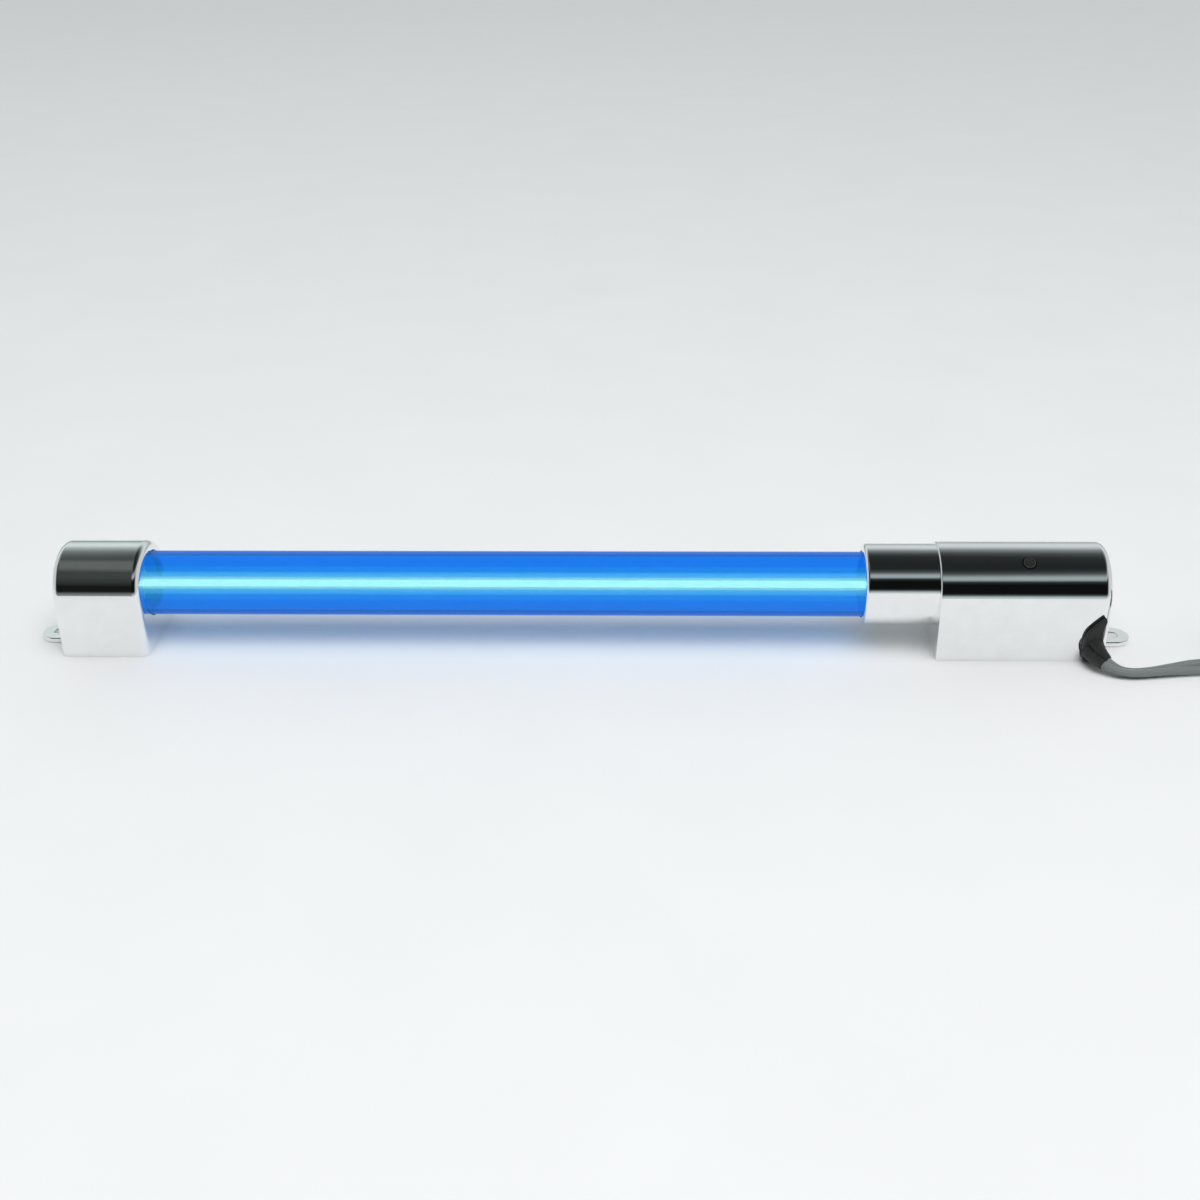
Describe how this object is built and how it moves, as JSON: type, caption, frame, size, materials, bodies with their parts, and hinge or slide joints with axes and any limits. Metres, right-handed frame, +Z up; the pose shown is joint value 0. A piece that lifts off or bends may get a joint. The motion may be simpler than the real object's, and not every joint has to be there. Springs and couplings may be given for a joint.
{
  "type": "tube light",
  "caption": "Blue glowing accent tube between a plated end cap and a plated driver housing with fixing ears, a push switch, a flat power lead and an accessory plug.",
  "frame": {"origin": "centre of the lamp's base, without the free lead", "axes": "+X along the tube to the driver housing, -Y the front, +Z up from the base"},
  "size_m": [0.5089, 0.0395, 0.0303],
  "materials": {
    "left_cap": "polished plating",
    "left_base_plate": "polished plating",
    "left_cover_screw_1": "plain steel",
    "left_cover_screw_2": "plain steel",
    "right_housing": "polished plating",
    "right_base_plate": "polished plating",
    "right_cover_screw_1": "plain steel",
    "right_cover_screw_2": "plain steel",
    "right_cover_screw_3": "plain steel",
    "right_cover_screw_4": "plain steel",
    "outer_tube": "clear blue acrylic, lit from inside",
    "light_core": "frosted, glowing",
    "led_strip": "glowing chips on a white strip",
    "left_core_holder": "moulded",
    "right_core_holder": "moulded",
    "left_end_plug": "moulded",
    "right_end_plug": "moulded",
    "driver_board": "satin solder mask",
    "inductor": "wound copper on a ferrite drum",
    "capacitor": "shrink sleeve",
    "regulator": "moulded",
    "terminal_block": "moulded",
    "led_lead_1": "insulated lead",
    "led_lead_2": "insulated lead",
    "power_lead_1": "insulated lead",
    "power_lead_2": "insulated lead",
    "switch_lead_1": "insulated lead",
    "switch_lead_2": "insulated lead",
    "switch_body": "moulded",
    "switch_button": "moulded",
    "cord_guard": "matte",
    "power_cord": "satin soft vinyl",
    "cord_hank": "satin soft vinyl",
    "hank_tie": "thin tie",
    "plug_cord": "satin soft vinyl",
    "plug_relief": "matte",
    "plug_body": "fine grained",
    "plug_collar": "turned",
    "plug_fuse": "plain",
    "plug_tip": "turned",
    "plug_contact_left": "pressed spring",
    "plug_contact_right": "pressed spring"
  },
  "bodies": {
    "lamp": {"left_cap": "left_cap", "left_base_plate": "left_base_plate", "left_cover_screw_1": "left_cover_screw_1", "left_cover_screw_2": "left_cover_screw_2", "right_housing": "right_housing", "right_base_plate": "right_base_plate", "right_cover_screw_1": "right_cover_screw_1", "right_cover_screw_2": "right_cover_screw_2", "right_cover_screw_3": "right_cover_screw_3", "right_cover_screw_4": "right_cover_screw_4", "outer_tube": "outer_tube", "light_core": "light_core", "led_strip": "led_strip", "left_core_holder": "left_core_holder", "right_core_holder": "right_core_holder", "left_end_plug": "left_end_plug", "right_end_plug": "right_end_plug", "driver_board": "driver_board", "inductor": "inductor", "capacitor": "capacitor", "regulator": "regulator", "terminal_block": "terminal_block", "led_lead_1": "led_lead_1", "led_lead_2": "led_lead_2", "power_lead_1": "power_lead_1", "power_lead_2": "power_lead_2", "switch_lead_1": "switch_lead_1", "switch_lead_2": "switch_lead_2", "switch_body": "switch_body", "cord_guard": "cord_guard", "power_cord": "power_cord", "cord_hank": "cord_hank", "hank_tie": "hank_tie", "plug_cord": "plug_cord", "plug_relief": "plug_relief", "plug_body": "plug_body", "plug_collar": "plug_collar", "plug_fuse": "plug_fuse"},
    "button": {"switch_button": "switch_button"},
    "plug_tip": {"plug_tip": "plug_tip"},
    "contact_left": {"plug_contact_left": "plug_contact_left"},
    "contact_right": {"plug_contact_right": "plug_contact_right"}
  },
  "joints": [
    {"name": "button_press", "type": "slide", "parent": "lamp", "child": "button", "axis": [0, 0.5446, -0.8387], "range_m": [0, 0.001], "stiffness_N_per_m": 600, "springref_m": -0.001},
    {"name": "tip_press", "type": "slide", "parent": "lamp", "child": "plug_tip", "axis": [-1, 0, 0], "range_m": [0, 0.003], "stiffness_N_per_m": 800, "springref_m": -0.003},
    {"name": "contact_left_press", "type": "slide", "parent": "lamp", "child": "contact_left", "axis": [0, -1, 0], "range_m": [0, 0.0012], "stiffness_N_per_m": 900, "springref_m": -0.0006},
    {"name": "contact_right_press", "type": "slide", "parent": "lamp", "child": "contact_right", "axis": [0, 1, 0], "range_m": [0, 0.0012], "stiffness_N_per_m": 900, "springref_m": -0.0006}
  ]
}
